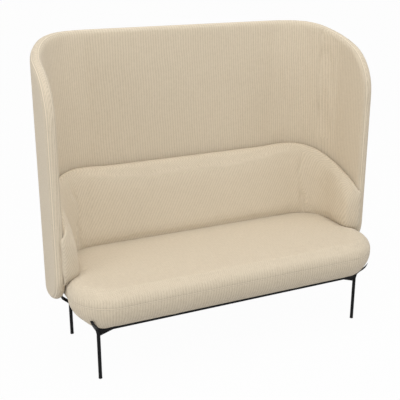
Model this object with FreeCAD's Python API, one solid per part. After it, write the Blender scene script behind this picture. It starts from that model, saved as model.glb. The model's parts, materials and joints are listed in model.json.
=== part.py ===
"""High back settee: a wrap-round upholstered shell, a seat pad and a lower back pad on a slim steel base.

Units are millimetres. +X is the sitter's left to right, +Y points to the back, +Z is up.
The origin lies on the floor, in the middle of the settee's width and depth.
"""
import FreeCAD, Part
import math
import os
from FreeCAD import Vector

# Overall envelope
overall_width = 1600.0
overall_height = 1430.0
overall_depth = 718.0

# Shell: one U-shaped wall with a rolled rim
wall_thickness = 48.0
wing_setback = 237.0
shell_corner_radius = 317.0
shell_bottom_height = 292.0
wing_slope_angle = 22.3
slope_end_from_back = 88.0
slope_blend_radius = 350.0
wing_top_corner_radius = 240.0
wing_bottom_corner_radius = 160.0
rim_radius = 23.0
rim_seam_offset = 22.0
cover_thickness = 1.6
shell_board_thickness = 12.0
shell_outer_foam_thickness = 10.4
shell_board_edge_setback = 14.0
batten_width = 60.0
batten_thickness = 9.0
batten_end_setback = 60.0

# Steel base
leg_side_setback = 136.5
leg_front_setback = 106.0
leg_rear_setback = 170.0
leg_diameter = 16.0
leg_wall = 2.0
leg_top_cap = 3.0
glide_diameter = 17.0
glide_height = 5.0
glide_spigot_length = 14.0
glide_clearance = 0.05
glide_edge_chamfer = 1.2
rail_bottom_height = 230.0
rail_height = 14.0
rail_width = 20.0
rail_wall = 1.5
gusset_thickness = 5.0
gusset_length = 72.0
gusset_drop = 22.0
horn_thickness = 5.0
horn_angle = 48.0
horn_outline = (
    (8.0, 222.0),
    (12.0, 244.0),
    (22.0, 260.0),
    (34.0, 272.5),
    (45.0, 286.0),
    (52.0, 300.0),
    (54.5, 309.0),
)
horn_shell_gap = 3.0
horn_seat_gap = 0.3
fixing_plate_width = 60.0
fixing_plate_depth = 70.0
fixing_plate_thickness = 4.0
fixing_plate_inset = 243.5

# Seat
seat_side_clearance = 0.5
seat_swell = 12.5
seat_front_corner_radius = 189.0
seat_taper_length = 40.0
seat_taper_overlap = 13.0
seat_swell_radius = 134.0
seat_waist_radius = 70.0
seat_seam_height = 370.5
seat_edge_height = 430.0
seat_crown = 8.0
seat_lower_radius = 124.0
seat_upper_radius = 58.0
seat_back_clearance = 0.5
timber_setback = 128.0
timber_width = 45.0
timber_height = 45.0
stretcher_inset = 348.5
strap_width = 50.0
strap_thickness = 1.5
strap_side_gap = 65.5
strap_count = 9
strap_end_setback = 5.0
strap_foam_gap = 0.3
dust_cover_setback = 140.0
dust_cover_thickness = 1.0

# Lower back and arm pad
pad_top_height = 793.0
pad_bottom_height = 350.0
pad_wall_clearance = 0.4
pad_seat_clearance = 0.3
pad_arm_thickness = 52.0
pad_back_thickness_low = 142.0
pad_back_thickness_high = 64.0
pad_inner_corner_radius = 165.0
pad_top_edge_radius = 20.0
pad_front_setback = 4.0
pad_slope_angle = 20.8
pad_slope_end_from_back = 112.0
pad_slope_blend_radius = 220.0
pad_front_corner_radius = 110.0
pad_board_thickness = 9.0
pad_board_bottom_height = 455.0
pad_board_margin = 60.0

# Brackets between the seat and the shell, and the fasteners
shell_bracket_width = 50.0
shell_bracket_thickness = 4.0
shell_bracket_root_height = 233.0
shell_bracket_bend_height = 292.0
shell_bracket_top = 330.0
side_bracket_setback = 132.0
side_bracket_knee = 12.0
back_bracket_inset = 133.0
back_bracket_knee = 29.0
shell_bolt_height = 318.0
shell_bolt_tip_cover = 1.0
bolt_diameter = 8.0
bolt_length = 46.0
bolt_clearance = 0.5
thread_fit = 0.1
bolt_head_diameter = 13.0
bolt_head_height = 4.0
bolt_socket = 5.0
bolt_socket_depth = 2.5
shell_bolt_diameter = 6.0
shell_bolt_head_diameter = 10.5
shell_bolt_head_height = 3.0
shell_bolt_socket = 4.0
shell_bolt_socket_depth = 1.8
tee_nut_barrel_diameter = 10.0
tee_nut_barrel_length = 12.0
tee_nut_flange_diameter = 20.0
tee_nut_flange_thickness = 1.5
shell_tee_nut_barrel_diameter = 8.0
shell_tee_nut_flange_diameter = 18.0
pad_screw_diameter = 5.0
pad_screw_grip = 7.0
pad_screw_head_diameter = 9.0
pad_screw_head_height = 2.5
pad_screw_height = 640.0
pad_screw_inset = 63.0
arm_screw_height = 560.0

# Places worked out from the sizes above
half_width = overall_width / 2.0
front_y = -overall_depth / 2.0
back_y = overall_depth / 2.0
wing_front_y = front_y + wing_setback
inner_half_width = half_width - wall_thickness
inner_back_y = back_y - wall_thickness
inner_corner_radius = shell_corner_radius - wall_thickness
leg_x = half_width - leg_side_setback
front_leg_y = front_y + leg_front_setback
rear_leg_y = back_y - leg_rear_setback
fixing_plate_x = leg_x - fixing_plate_inset
rail_top = rail_bottom_height + rail_height
seat_bottom = rail_top
seat_back_y = inner_back_y - seat_back_clearance
seat_inner_half_width = inner_half_width - seat_side_clearance
seat_half_width = seat_inner_half_width + seat_swell
seat_back_corner_radius = inner_corner_radius - seat_side_clearance
timber_bottom = seat_bottom + cover_thickness
timber_top = timber_bottom + timber_height
timber_front = front_y + timber_setback
timber_rear = seat_back_y - timber_setback
timber_side = seat_inner_half_width - timber_setback
stretcher_x = timber_side - timber_width - stretcher_inset
strap_reach = timber_side - timber_width - strap_side_gap - strap_width / 2.0
strap_pitch = 2.0 * strap_reach / (strap_count - 1)
corner_x = half_width - shell_corner_radius
side_bracket_y = wing_front_y + side_bracket_setback
back_bracket_x = corner_x - back_bracket_inset
pad_screw_x = corner_x - pad_screw_inset
outer_board_offset = cover_thickness + shell_outer_foam_thickness
inner_board_offset = outer_board_offset + shell_board_thickness
pad_offset = wall_thickness + pad_wall_clearance
pad_board_offset = pad_offset + cover_thickness
past = 60.0
sharp_angle = 25.0


def tangent_corner(before, corner, after, radius):
    """Start, middle and end of the arc that rounds one corner of an outline."""
    toward_before = (before - corner).normalize()
    toward_after = (after - corner).normalize()
    half_angle = toward_before.getAngle(toward_after) / 2.0
    reach = radius / math.tan(half_angle)
    bisector = (toward_before + toward_after).normalize()
    centre = corner + bisector * (radius / math.sin(half_angle))
    return corner + toward_before * reach, centre - bisector * radius, corner + toward_after * reach


def rounded_face(corners):
    """Plane face whose outline has the given corners, each a point and the radius that rounds it."""
    edges = []
    points = [corner for corner, radius in corners]
    count = len(points)
    ends = []
    for index in range(count):
        radius = corners[index][1]
        if radius > 0.0:
            ends.append(tangent_corner(points[index - 1], points[index], points[(index + 1) % count], radius))
        else:
            ends.append((points[index], None, points[index]))
    for index in range(count):
        start, middle, finish = ends[index]
        if middle is not None:
            edges.append(Part.Arc(start, middle, finish).toShape())
        next_start = ends[(index + 1) % count][0]
        if finish.distanceToPoint(next_start) > 0.001:
            edges.append(Part.LineSegment(finish, next_start).toShape())
    return Part.Face(Part.Wire(edges))


def plan_prism(corners, bottom, top):
    """Upright prism on a plan outline of (x, y, radius) corners."""
    face = rounded_face([(Vector(x, y, bottom), radius) for x, y, radius in corners])
    return face.extrude(Vector(0, 0, top - bottom))


def side_prism(corners, half_length):
    """Prism along X on a side outline of (y, z, radius) corners."""
    face = rounded_face([(Vector(-half_length, y, z), radius) for y, z, radius in corners])
    return face.extrude(Vector(2.0 * half_length, 0, 0))


def box(x0, x1, y0, y1, z0, z1):
    """Box between two corners."""
    return Part.makeBox(x1 - x0, y1 - y0, z1 - z0, Vector(x0, y0, z0))


def upright_cylinder(x, y, diameter, z0, z1):
    """Cylinder standing on its end."""
    return Part.makeCylinder(diameter / 2.0, z1 - z0, Vector(x, y, z0), Vector(0, 0, 1))


def mirrored(shape):
    """The same shape on the other side of the settee."""
    return shape.mirror(Vector(0, 0, 0), Vector(1, 0, 0))


def is_sharp(shape, edge):
    """True where the two faces beside an edge meet at a real corner."""
    faces = shape.ancestorsOfType(edge, Part.Face)
    if len(faces) < 2:
        return False
    middle = edge.valueAt((edge.FirstParameter + edge.LastParameter) / 2.0)
    normals = []
    for face in faces[:2]:
        u, v = face.Surface.parameter(middle)
        normals.append(face.normalAt(u, v))
    return math.degrees(normals[0].getAngle(normals[1])) > sharp_angle


def sharp_edges(shape, wanted=lambda centre: True):
    """Sharp edges of a shape whose centre the caller wants."""
    return [edge for edge in shape.Edges if wanted(edge.CenterOfMass) and is_sharp(shape, edge)]


def single(shape):
    """The one solid of a boolean result."""
    return shape.Solids[0] if len(shape.Solids) == 1 else Part.makeCompound(shape.Solids)


def shell_plan(offset, front):
    """Plan outline of the shell, moved inwards from its outer face, and open to the front at the given y."""
    reach = half_width - offset
    rear = back_y - offset
    radius = shell_corner_radius - offset
    return [(-reach, front, 0.0), (-reach, rear, radius), (reach, rear, radius), (reach, front, 0.0)]


def side_outline(front, bottom, top, slope, slope_end, blend, top_corner, bottom_corner, inset):
    """Side outline with a sloping top line and a large front corner, moved inwards by an inset."""
    angle = math.radians(slope)
    end_y = slope_end + inset * math.tan(angle / 2.0)
    corner_z = top - (slope_end - front - inset) * math.tan(angle) - inset / math.cos(angle)
    return [
        (back_y + past, bottom + inset, 0.0),
        (front + inset, bottom + inset, bottom_corner - inset),
        (front + inset, corner_z, top_corner - inset),
        (end_y, top - inset, blend),
        (back_y + past, top - inset, 0.0),
    ]


def shell_side(inset):
    """Side outline of the shell."""
    return side_outline(wing_front_y, shell_bottom_height, overall_height, wing_slope_angle,
                        back_y - slope_end_from_back, slope_blend_radius, wing_top_corner_radius,
                        wing_bottom_corner_radius, inset)


def wall(outer_offset, inner_offset, inset):
    """U-shaped wall between two plan offsets, trimmed to the shell's side outline."""
    low = shell_bottom_height - past
    high = overall_height + past
    outer = plan_prism(shell_plan(outer_offset, front_y - past), low, high)
    inner = plan_prism(shell_plan(inner_offset, front_y - 2.0 * past), low - past, high + past)
    return outer.cut(inner).common(side_prism(shell_side(inset), overall_width))


def rolled_wall(inset):
    """The shell's whole body with its rolled rim, moved inwards all round by an inset."""
    blank = single(wall(inset, wall_thickness - inset, inset))
    return single(blank.makeFillet(rim_radius - inset, sharp_edges(blank)))


def inside_of(offset):
    """Everything on the sitter's side of a plan offset in the shell's wall."""
    return plan_prism(shell_plan(offset, front_y - 3.0 * past), -past, overall_height + 2.0 * past)


def back_stretch():
    """Room that holds the straight stretch of the shell between its two round corners."""
    return box(-corner_x, corner_x, 0.0, back_y + past, 0.0, overall_height + past)


def right_stretch():
    """Room that holds the right wing with its round corner."""
    return box(corner_x, half_width + past, front_y - past, back_y + past, 0.0, overall_height + past)


def seat_plan(inset):
    """Plan outline of the seat: it swells a little in front of the wings and is drawn in between them."""
    wide = seat_half_width - inset
    narrow = seat_inner_half_width - inset
    front = front_y + inset
    rear = seat_back_y - inset
    turn = math.atan(seat_swell / seat_taper_length)
    taper_end = wing_front_y + seat_taper_overlap - inset * math.tan(turn / 2.0)
    taper_start = taper_end - seat_taper_length
    right = [
        (wide, front, seat_front_corner_radius - inset),
        (wide, taper_start, seat_swell_radius - inset),
        (narrow, taper_end, seat_waist_radius + inset),
        (narrow, rear, seat_back_corner_radius - inset),
    ]
    left = [(-x, y, radius) for x, y, radius in reversed(right)]
    return right + left


def under_plan(setback):
    """Plan outline of the window under the seat, set back from the seat's narrower outline."""
    reach = seat_inner_half_width - setback
    front_radius = seat_front_corner_radius - setback
    rear_radius = seat_back_corner_radius - setback
    return [
        (reach, front_y + setback, front_radius),
        (reach, seat_back_y - setback, rear_radius),
        (-reach, seat_back_y - setback, rear_radius),
        (-reach, front_y + setback, front_radius),
    ]


def crown_side(inset):
    """Long prism under the seat's crowned top."""
    half_depth = (seat_back_y - front_y) / 2.0
    middle_y = (seat_back_y + front_y) / 2.0
    radius = (half_depth ** 2 + seat_crown ** 2) / (2.0 * seat_crown)
    reach = half_depth + past
    crest_z = seat_edge_height + seat_crown - inset
    end_z = crest_z - radius + math.sqrt(radius ** 2 - reach ** 2)
    side = -overall_width
    near = Vector(side, middle_y - reach, end_z)
    far = Vector(side, middle_y + reach, end_z)
    low_near = Vector(side, middle_y - reach, seat_bottom + inset)
    low_far = Vector(side, middle_y + reach, seat_bottom + inset)
    edges = [
        Part.Arc(near, Vector(side, middle_y, crest_z), far).toShape(),
        Part.LineSegment(far, low_far).toShape(),
        Part.LineSegment(low_far, low_near).toShape(),
        Part.LineSegment(low_near, near).toShape(),
    ]
    return Part.Face(Part.Wire(edges)).extrude(Vector(2.0 * overall_width, 0, 0))


def seat_body(inset):
    """The seat's outer form: crowned top, full rounded edge, drawn-in sides."""
    upright = plan_prism(seat_plan(inset), seat_bottom - past, seat_edge_height + past)
    blank = single(upright.common(crown_side(inset)))
    lower = blank.makeFillet(seat_lower_radius - inset,
                             sharp_edges(blank, lambda centre: centre.z < seat_seam_height - past))
    upper_edges = sharp_edges(lower, lambda centre: centre.z > seat_seam_height + past / 3.0)
    return single(lower.makeFillet(seat_upper_radius - inset, upper_edges))


def pad_void(inset):
    """The sitting space inside the lower back pad: it leans back, so it is deeper at the top than at the seat."""
    lean = (pad_back_thickness_low - pad_back_thickness_high) / (pad_top_height - seat_edge_height)
    reach = inner_half_width - pad_arm_thickness + inset
    radius = pad_inner_corner_radius + inset
    wires = []
    for height in (pad_bottom_height - past, pad_top_height + past):
        rear = inner_back_y - pad_back_thickness_low + lean * (height - seat_edge_height) + inset
        corners = [
            (-reach, front_y - past, 0.0),
            (-reach, rear, radius),
            (reach, rear, radius),
            (reach, front_y - past, 0.0),
        ]
        wires.append(rounded_face([(Vector(x, y, height), turn) for x, y, turn in corners]).OuterWire)
    return Part.makeLoft(wires, True, True)


def pad_side(inset):
    """Side outline of the lower back pad: level along the back, sloping down along the arms."""
    outline = side_outline(wing_front_y + pad_front_setback, pad_bottom_height, pad_top_height, pad_slope_angle,
                           back_y - pad_slope_end_from_back, pad_slope_blend_radius, pad_front_corner_radius,
                           0.0, inset)
    return [(y, z, max(radius, 0.0)) for y, z, radius in outline]


def pad_block(inset):
    """The lower back pad before its top edge is rounded."""
    offset = wall_thickness + pad_wall_clearance + inset
    outer = plan_prism(shell_plan(offset, front_y), pad_bottom_height - past, pad_top_height + past)
    trimmed = outer.common(side_prism(pad_side(inset), overall_width))
    return single(trimmed.cut(pad_void(inset)))


def seated(shape, inset):
    """Cut a pad to the shape of the seat that it rests on."""
    pieces = shape.cut(seat_body(-pad_seat_clearance - inset)).Solids
    return max(pieces, key=lambda piece: piece.Volume)


def pad_body(inset):
    """The lower back pad with its soft top and front edge, cut to sit on the seat."""
    block = pad_block(inset)
    soft_reach = inner_half_width - pad_arm_thickness * 2.0 / 3.0
    soft_rear = inner_back_y - pad_back_thickness_high / 2.0

    def on_soft_edge(centre):
        inner = abs(centre.x) < soft_reach and centre.y < soft_rear
        return inner and centre.z > pad_bottom_height + past

    edges = sharp_edges(block, on_soft_edge)
    return seated(single(block.makeFillet(pad_top_edge_radius - inset, edges)), inset)


def socket_bolt(place, direction, diameter, length, head_diameter, head_height, socket, socket_depth):
    """Bolt whose head seats at a place, with its shank along a direction and a hexagon socket in its head."""
    shank = Part.makeCylinder(diameter / 2.0, length, place, direction)
    head = Part.makeCylinder(head_diameter / 2.0, head_height, place - direction * head_height, direction)
    outer = place - direction * head_height
    across = direction.cross(Vector(0, 0, 1)) if abs(direction.z) < 0.5 else Vector(1, 0, 0)
    up = direction.cross(across)
    corner_radius = socket / math.sqrt(3.0)
    corners = []
    for index in range(6):
        turn = math.radians(60.0 * index)
        corners.append(outer + (across * math.cos(turn) + up * math.sin(turn)) * corner_radius)
    corners.append(corners[0])
    recess = Part.Face(Part.makePolygon(corners)).extrude(direction * socket_depth)
    return shank.fuse(head).removeSplitter().cut(recess)


def tee_nut(place, direction, bore, barrel, flange):
    """Tee nut whose flange seats at a place, with its barrel along a direction into the wood."""
    body = Part.makeCylinder(barrel / 2.0, tee_nut_barrel_length, place, direction)
    plate = Part.makeCylinder(flange / 2.0, tee_nut_flange_thickness,
                              place - direction * tee_nut_flange_thickness, direction)
    hole = Part.makeCylinder(bore / 2.0, tee_nut_barrel_length + 2.0 * past, place - direction * past, direction)
    return body.fuse(plate).removeSplitter().cut(hole)


def drill(shape, places, direction, diameter, start, length):
    """Cut a round hole at each place, starting some way before it along a direction."""
    for place in places:
        shape = shape.cut(Part.makeCylinder(diameter / 2.0, length, place + direction * start, direction))
    return shape


def rail_tube(x0, x1, y0, y1):
    """Rectangular steel tube that lies along its longer side."""
    low = rail_bottom_height + rail_wall
    high = rail_top - rail_wall
    tube = box(x0, x1, y0, y1, rail_bottom_height, rail_top)
    if x1 - x0 > y1 - y0:
        return tube.cut(box(x0 - past, x1 + past, y0 + rail_wall, y1 - rail_wall, low, high))
    return tube.cut(box(x0 + rail_wall, x1 - rail_wall, y0 - past, y1 + past, low, high))


def cross_rail(y):
    """Front or rear rail: its ends are coped round the legs."""
    half = rail_width / 2.0
    rail = rail_tube(-leg_x, leg_x, y - half, y + half)
    for x in (-leg_x, leg_x):
        rail = rail.cut(upright_cylinder(x, y, leg_diameter, 0.0, overall_height))
    return single(rail)


def right_side_rail():
    """Side rail: it butts against the front and rear rails and is coped round the legs."""
    half = rail_width / 2.0
    rail = rail_tube(leg_x - half, leg_x + half, front_leg_y, rear_leg_y)
    for y in (front_leg_y, rear_leg_y):
        rail = rail.cut(upright_cylinder(leg_x, y, leg_diameter, 0.0, overall_height))
        rail = rail.cut(box(-leg_x, leg_x, y - half, y + half, rail_bottom_height, rail_top))
    return single(rail)


def centre_rail():
    """Rail in the middle of the base, between the front and rear rails."""
    half = rail_width / 2.0
    return rail_tube(-half, half, front_leg_y + half, rear_leg_y - half)


def leg(y):
    """Round tube leg of the right side, closed at its top."""
    tube = upright_cylinder(leg_x, y, leg_diameter, glide_height, rail_top)
    bore = upright_cylinder(leg_x, y, leg_diameter - 2.0 * leg_wall, 0.0, rail_top - leg_top_cap)
    return tube.cut(bore)


def glide(y):
    """Pushed-in glide of the right side: a round head under the leg and a spigot in its bore."""
    head = upright_cylinder(leg_x, y, glide_diameter, 0.0, glide_height)
    rim = [edge for edge in head.Edges if edge.CenterOfMass.z < 0.1 and edge.Closed]
    head = head.makeChamfer(glide_edge_chamfer, rim)
    spigot_diameter = leg_diameter - 2.0 * leg_wall - 2.0 * glide_clearance
    spigot = upright_cylinder(leg_x, y, spigot_diameter, glide_height, glide_height + glide_spigot_length)
    return single(head.fuse(spigot))


def gusset(y):
    """Triangular plate welded under the rail and to the inner side of a right-hand leg."""
    near = y - gusset_thickness / 2.0
    inner = leg_x - leg_diameter / 2.0 - gusset_length
    corners = [
        Vector(inner, near, rail_bottom_height),
        Vector(leg_x, near, rail_bottom_height),
        Vector(leg_x, near, rail_bottom_height - gusset_drop),
        Vector(leg_x - leg_diameter / 2.0, near, rail_bottom_height - gusset_drop),
        Vector(inner, near, rail_bottom_height),
    ]
    plate = Part.Face(Part.makePolygon(corners)).extrude(Vector(0, gusset_thickness, 0))
    return single(plate.cut(upright_cylinder(leg_x, y, leg_diameter, 0.0, overall_height)))


def horn(y, toward, seat):
    """Tapered plate welded to the outer side of a right-hand leg; it rises along the seat's rounded corner."""
    turn = math.radians(horn_angle)
    outward = Vector(math.cos(turn), toward * math.sin(turn), 0.0)
    sideways = Vector(-outward.y, outward.x, 0.0)
    base = Vector(leg_x, y, 0.0) - sideways * (horn_thickness / 2.0)
    profile = [(0.0, horn_outline[0][1])] + list(horn_outline) + [(0.0, horn_outline[-1][1])]
    corners = [base + outward * reach + Vector(0, 0, height) for reach, height in profile]
    corners.append(corners[0])
    plate = Part.Face(Part.makePolygon(corners)).extrude(sideways * horn_thickness)
    plate = plate.cut(upright_cylinder(leg_x, y, leg_diameter, 0.0, rail_top))
    half = rail_width / 2.0
    plate = plate.cut(box(-overall_width, leg_x, y - half, y + half, rail_bottom_height, rail_top))
    plate = plate.cut(box(leg_x - half, leg_x + half, front_leg_y, rear_leg_y, rail_bottom_height, rail_top))
    if y > 0.0:
        plate = plate.common(box(0.0, overall_width, 0.0, back_y, 0.0, shell_bottom_height - horn_shell_gap))
    pieces = plate.cut(seat).Solids
    return min(pieces, key=lambda piece: piece.CenterOfMass.z)


def fixing_places():
    """Where the seat bolts stand: over the middle of the seat's timbers."""
    front = timber_front + timber_width / 2.0
    rear = timber_rear - timber_width / 2.0
    side = timber_side - timber_width / 2.0
    middle = (front_leg_y + rear_leg_y) / 2.0
    places = [(-fixing_plate_x, front), (fixing_plate_x, front), (-fixing_plate_x, rear), (fixing_plate_x, rear)]
    return places + [(-side, middle), (side, middle)]


def fixing_plates():
    """Six drilled plates welded to the inner faces of the rails, flush with their tops."""
    half = fixing_plate_width / 2.0
    low = rail_top - fixing_plate_thickness
    front = front_leg_y + rail_width / 2.0
    rear = rear_leg_y - rail_width / 2.0
    side = leg_x - rail_width / 2.0
    middle = (front_leg_y + rear_leg_y) / 2.0
    plates = []
    for x in (-fixing_plate_x, fixing_plate_x):
        plates.append(box(x - half, x + half, front, front + fixing_plate_depth, low, rail_top))
        plates.append(box(x - half, x + half, rear - fixing_plate_depth, rear, low, rail_top))
    right = box(side - fixing_plate_depth, side, middle - half, middle + half, low, rail_top)
    plates.extend([right, mirrored(right)])
    holes = [Vector(x, y, low) for x, y in fixing_places()]
    drilled = []
    for plate in plates:
        drilled.append(drill(plate, holes, Vector(0, 0, 1), bolt_diameter + bolt_clearance, -1.0,
                             fixing_plate_thickness + 2.0))
    return Part.makeCompound(drilled)


def timber_ring():
    """The seat's four outer timbers before they are parted."""
    ring = plan_prism(seat_plan(timber_setback), timber_bottom, timber_top)
    inner = timber_side - timber_width
    return ring.cut(box(-inner, inner, timber_front + timber_width, timber_rear - timber_width,
                        timber_bottom - past, timber_top + past))


def bolted_timber(shape):
    """Drill a timber for the seat bolts and the barrels of their tee nuts."""
    places = [Vector(x, y, timber_bottom) for x, y in fixing_places()]
    upward = Vector(0, 0, 1)
    shape = drill(shape, places, upward, bolt_diameter + bolt_clearance, -1.0, timber_height + 2.0)
    barrel_start = timber_height - tee_nut_barrel_length
    return single(drill(shape, places, upward, tee_nut_barrel_diameter, barrel_start, tee_nut_barrel_length + 1.0))


def front_timber():
    """Front timber of the seat."""
    room = box(-overall_width, overall_width, front_y, timber_front + timber_width, timber_bottom, timber_top)
    return bolted_timber(timber_ring().common(room))


def rear_timber():
    """Rear timber of the seat."""
    room = box(-overall_width, overall_width, timber_rear - timber_width, back_y, timber_bottom, timber_top)
    return bolted_timber(timber_ring().common(room))


def right_timber():
    """Right-hand timber of the seat, butted between the front and rear timbers."""
    room = box(0.0, overall_width, timber_front + timber_width, timber_rear - timber_width, timber_bottom, timber_top)
    return bolted_timber(timber_ring().common(room))


def right_stretcher():
    """Right-hand stretcher between the front and rear timbers."""
    half = timber_width / 2.0
    return box(stretcher_x - half, stretcher_x + half, timber_front + timber_width, timber_rear - timber_width,
               timber_bottom, timber_top)


def seat_webbing():
    """Elastic straps over the timbers, from front to back."""
    straps = []
    for index in range(strap_count):
        x = (index - (strap_count - 1) / 2.0) * strap_pitch
        straps.append(box(x - strap_width / 2.0, x + strap_width / 2.0, timber_front + strap_end_setback,
                          timber_rear - strap_end_setback, timber_top, timber_top + strap_thickness))
    return Part.makeCompound(straps)


def seat_foam(core):
    """Moulded foam block of the seat, hollow underneath for the timber frame."""
    hollow_top = timber_top + strap_thickness + strap_foam_gap
    return single(core.cut(plan_prism(seat_plan(timber_setback), seat_bottom - past, hollow_top)))


def seat_upper_cover(skin):
    """Top cover of the seat, down to the seam at its widest line."""
    room = box(-overall_width, overall_width, -overall_width, overall_width, seat_seam_height, overall_height)
    return single(skin.common(room))


def seat_lower_cover(skin):
    """Border cover of the seat, from the seam round to the underside of the timbers."""
    room = box(-overall_width, overall_width, -overall_width, overall_width, 0.0, seat_seam_height)
    window = plan_prism(under_plan(dust_cover_setback), seat_bottom - past, timber_bottom + past)
    return single(skin.common(room).cut(window))


def seat_dust_cover():
    """Thin cloth under the timber frame, drilled for the seat bolts."""
    sheet = plan_prism(under_plan(dust_cover_setback), timber_bottom - dust_cover_thickness, timber_bottom)
    places = [Vector(x, y, timber_bottom) for x, y in fixing_places()]
    return single(drill(sheet, places, Vector(0, 0, 1), bolt_diameter + bolt_clearance, -past, 2.0 * past))


def seat_bolts():
    """Bolts from under the fixing plates up into the timbers."""
    low = rail_top - fixing_plate_thickness
    bolts = [socket_bolt(Vector(x, y, low), Vector(0, 0, 1), bolt_diameter, bolt_length, bolt_head_diameter,
                         bolt_head_height, bolt_socket, bolt_socket_depth) for x, y in fixing_places()]
    return Part.makeCompound(bolts)


def seat_tee_nuts():
    """Tee nuts in the tops of the timbers."""
    nuts = [tee_nut(Vector(x, y, timber_top), Vector(0, 0, -1), bolt_diameter + thread_fit,
                    tee_nut_barrel_diameter, tee_nut_flange_diameter) for x, y in fixing_places()]
    return Part.makeCompound(nuts)


def bracket_profile(rail_face, knee, wall_face):
    """Outline, as reach and height, of a bent strip from a rail's outer face up the shell's inner face."""
    root = shell_bracket_root_height
    bend = shell_bracket_bend_height
    thick = shell_bracket_thickness
    slope = math.atan2(bend - root, wall_face - rail_face - knee)
    shift = thick * math.tan(slope / 2.0)
    rise = thick * math.tan((math.pi / 2.0 - slope) / 2.0)
    return [
        (rail_face, root),
        (rail_face + knee, root),
        (wall_face, bend),
        (wall_face, shell_bracket_top),
        (wall_face - thick, shell_bracket_top),
        (wall_face - thick, bend + rise),
        (rail_face + knee - shift, root + thick),
        (rail_face, root + thick),
        (rail_face, root),
    ]


def side_shell_bracket():
    """Bent strip that carries the right wing from the side rail."""
    near = side_bracket_y - shell_bracket_width / 2.0
    profile = bracket_profile(leg_x + rail_width / 2.0, side_bracket_knee, inner_half_width)
    face = Part.Face(Part.makePolygon([Vector(x, near, z) for x, z in profile]))
    strip = face.extrude(Vector(0, shell_bracket_width, 0))
    return drill(strip, [side_bolt_place()], Vector(1, 0, 0), shell_bolt_diameter + bolt_clearance, -1.0, past)


def back_shell_brackets():
    """Two bent strips that carry the back of the shell from the rear rail."""
    profile = bracket_profile(rear_leg_y + rail_width / 2.0, back_bracket_knee, inner_back_y)
    strips = []
    for x in (-back_bracket_x, back_bracket_x):
        near = x - shell_bracket_width / 2.0
        face = Part.Face(Part.makePolygon([Vector(near, y, z) for y, z in profile]))
        strip = face.extrude(Vector(shell_bracket_width, 0, 0))
        strips.append(drill(strip, back_bolt_places(), Vector(0, 1, 0), shell_bolt_diameter + bolt_clearance,
                            -1.0, past))
    return Part.makeCompound(strips)


def side_bolt_place():
    """Seat of the head of the right wing's bolt, on the bracket's inner face."""
    return Vector(inner_half_width - shell_bracket_thickness, side_bracket_y, shell_bolt_height)


def back_bolt_places():
    """Seats of the heads of the bolts at the back of the shell."""
    y = inner_back_y - shell_bracket_thickness
    return [Vector(x, y, shell_bolt_height) for x in (-back_bracket_x, back_bracket_x)]


def shell_bolts():
    """Bolts through the shell brackets into the shell's boards."""
    length = shell_bracket_thickness + wall_thickness - outer_board_offset - shell_bolt_tip_cover
    side = socket_bolt(side_bolt_place(), Vector(1, 0, 0), shell_bolt_diameter, length, shell_bolt_head_diameter,
                       shell_bolt_head_height, shell_bolt_socket, shell_bolt_socket_depth)
    bolts = [side, mirrored(side)]
    for place in back_bolt_places():
        bolts.append(socket_bolt(place, Vector(0, 1, 0), shell_bolt_diameter, length, shell_bolt_head_diameter,
                                 shell_bolt_head_height, shell_bolt_socket, shell_bolt_socket_depth))
    return Part.makeCompound(bolts)


def shell_tee_nuts():
    """Tee nuts in the outer faces of the shell's boards."""
    bore = shell_bolt_diameter + thread_fit
    side_place = Vector(half_width - outer_board_offset, side_bracket_y, shell_bolt_height)
    side = tee_nut(side_place, Vector(-1, 0, 0), bore, shell_tee_nut_barrel_diameter, shell_tee_nut_flange_diameter)
    nuts = [side, mirrored(side)]
    for place in back_bolt_places():
        back_place = Vector(place.x, back_y - outer_board_offset, place.z)
        nuts.append(tee_nut(back_place, Vector(0, -1, 0), bore, shell_tee_nut_barrel_diameter,
                            shell_tee_nut_flange_diameter))
    return Part.makeCompound(nuts)


def back_screw_places():
    """Seats of the heads of the pad's screws on the shell's back board."""
    y = back_y - outer_board_offset
    return [Vector(x, y, pad_screw_height) for x in (-pad_screw_x, 0.0, pad_screw_x)]


def arm_screw_place():
    """Seat of the head of the right arm's screw on the shell's right board."""
    return Vector(half_width - outer_board_offset, side_bracket_y, arm_screw_height)


def pad_screws():
    """Long screws from the shell's boards into the boards of the lower back pad."""
    length = pad_board_offset - outer_board_offset + pad_screw_grip
    side = socket_bolt(arm_screw_place(), Vector(-1, 0, 0), pad_screw_diameter, length, pad_screw_head_diameter,
                       pad_screw_head_height, shell_bolt_socket, shell_bolt_socket_depth)
    screws = [side, mirrored(side)]
    for place in back_screw_places():
        screws.append(socket_bolt(place, Vector(0, -1, 0), pad_screw_diameter, length, pad_screw_head_diameter,
                                  pad_screw_head_height, shell_bolt_socket, shell_bolt_socket_depth))
    return Part.makeCompound(screws)


def fastener_holes(bolt_hole, screw_hole, outer_offset, inner_offset):
    """Round tools round every bolt and screw of the shell, between two offsets from its outer face."""
    depth = inner_offset - outer_offset
    side_x = half_width - inner_offset
    rear_y = back_y - inner_offset
    tools = []
    for side in (-1.0, 1.0):
        outward = Vector(side, 0, 0)
        bolt = Vector(side * side_x, side_bracket_y, shell_bolt_height)
        screw = Vector(side * side_x, side_bracket_y, arm_screw_height)
        tools.append(Part.makeCylinder(bolt_hole / 2.0, depth, bolt, outward))
        tools.append(Part.makeCylinder(screw_hole / 2.0, depth, screw, outward))
    for place in back_bolt_places():
        tools.append(Part.makeCylinder(bolt_hole / 2.0, depth, Vector(place.x, rear_y, place.z), Vector(0, 1, 0)))
    for place in back_screw_places():
        tools.append(Part.makeCylinder(screw_hole / 2.0, depth, Vector(place.x, rear_y, place.z), Vector(0, 1, 0)))
    return Part.makeCompound(tools)


def without(shape, tools):
    """Cut each solid of a set of tools from a shape."""
    for tool in tools.Solids:
        shape = shape.cut(tool)
    return shape


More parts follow.
